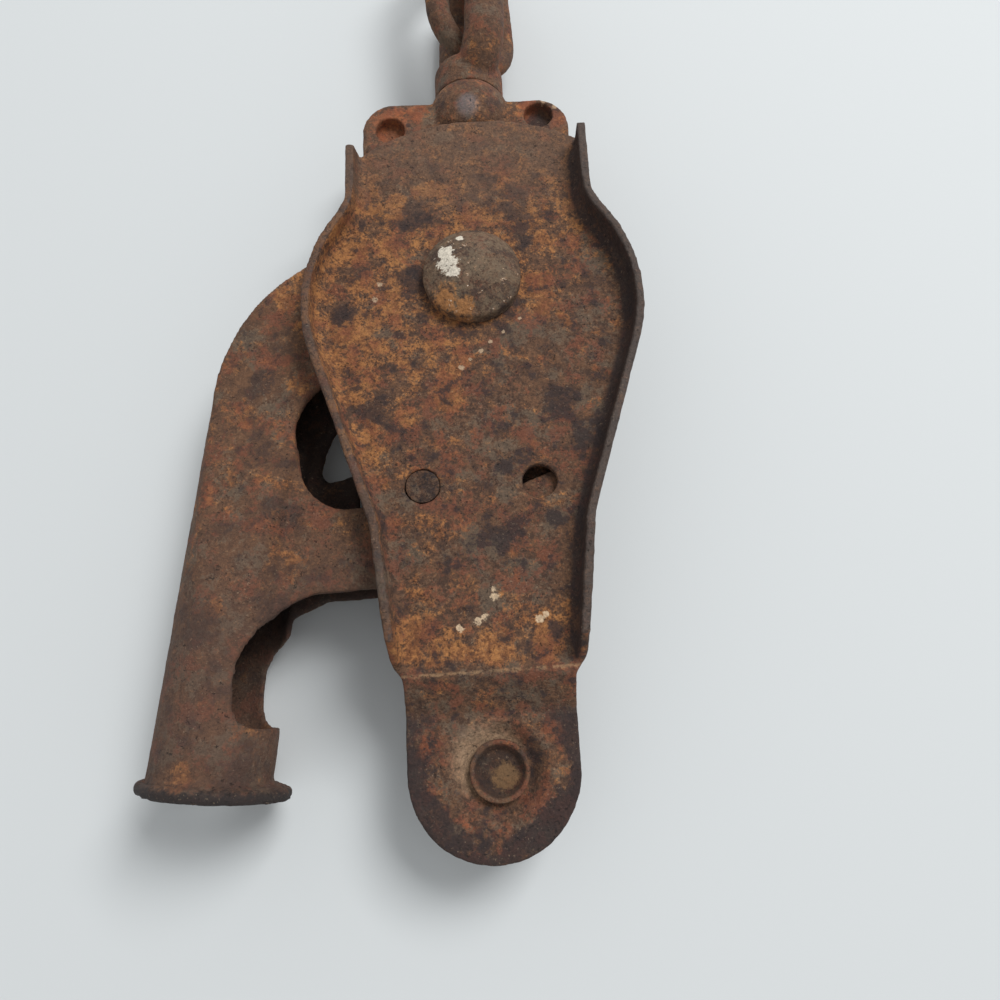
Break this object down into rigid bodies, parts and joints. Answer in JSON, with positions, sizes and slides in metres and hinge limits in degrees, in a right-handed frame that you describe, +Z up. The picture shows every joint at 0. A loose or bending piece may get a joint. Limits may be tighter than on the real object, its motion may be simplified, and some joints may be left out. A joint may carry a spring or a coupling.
{
  "type": "lever hoist block",
  "caption": "Rusty pressed-steel block with a rope wheel between two flanged cheeks, a hollow ratchet lever, a riveted tab and a swivel eye with a chain link.",
  "frame": {"origin": "centre of the axle's flat rear head, on the plane that the block lies on", "axes": "+Z up through the cheeks towards the domed axle head, +Y along the body towards the swivel eye, +X across the body away from the lever"},
  "size_m": [0.1116, 0.2567, 0.0329],
  "materials": {
    "rusty_sheet": "brown and ochre rust, pitted, matt",
    "rusty_forging": "brown rust, worn smooth on the high spots",
    "rusty_casting": "dark brown rust, rough",
    "worn_steel": "grey-brown worn steel",
    "bush_metal": "dull bronze"
  },
  "bodies": {
    "frame": {"front_cheek": "rusty_sheet", "rear_cheek": "rusty_sheet", "axle_rivet": "worn_steel", "axle_sleeve": "worn_steel", "side_rivet": "worn_steel", "side_rivet_sleeve": "worn_steel", "tab_rivet": "rusty_forging", "crosshead": "rusty_forging", "thrust_washers": "worn_steel"},
    "wheel": {"rope_wheel": "rusty_casting", "front_ratchet_disc": "worn_steel", "rear_ratchet_disc": "worn_steel", "wheel_rivets": "worn_steel", "wheel_bush": "bush_metal"},
    "lever": {"lever": "rusty_sheet", "drive_pawl_pin": "worn_steel", "drive_pawl_spring": "worn_steel"},
    "drive_pawl": {"drive_pawl": "rusty_casting"},
    "holding_pawl": {"holding_pawl": "rusty_casting"},
    "swivel": {"swivel_eye": "rusty_forging", "swivel_washer": "worn_steel"},
    "link": {"chain_link": "rusty_forging"}
  },
  "joints": [
    {"name": "wheel_spin", "type": "hinge", "parent": "frame", "child": "wheel", "pos_m": [0, 0, 0.016], "axis": [0, 0, 1], "continuous": true},
    {"name": "lever_swing", "type": "hinge", "parent": "frame", "child": "lever", "pos_m": [0, 0, 0.016], "axis": [0, 0, 1], "range_deg": [-18, 12]},
    {"name": "drive_pawl_drop", "type": "hinge", "parent": "lever", "child": "drive_pawl", "pos_m": [-0.03497, -0.00937, 0.016], "axis": [0, 0, 1], "range_deg": [-10, 0]},
    {"name": "holding_pawl_drop", "type": "hinge", "parent": "frame", "child": "holding_pawl", "pos_m": [-0.0128, -0.0504, 0.016], "axis": [0, 0, 1], "range_deg": [-9, 0]},
    {"name": "swivel_turn", "type": "hinge", "parent": "frame", "child": "swivel", "pos_m": [0.0012, 0.06, 0.016], "axis": [0, 1, 0], "continuous": true},
    {"name": "link_swing", "type": "hinge", "parent": "swivel", "child": "link", "pos_m": [0.00326, 0.10505, 0.016], "axis": [0.6428, 0, 0.766], "range_deg": [-35, 35]}
  ]
}
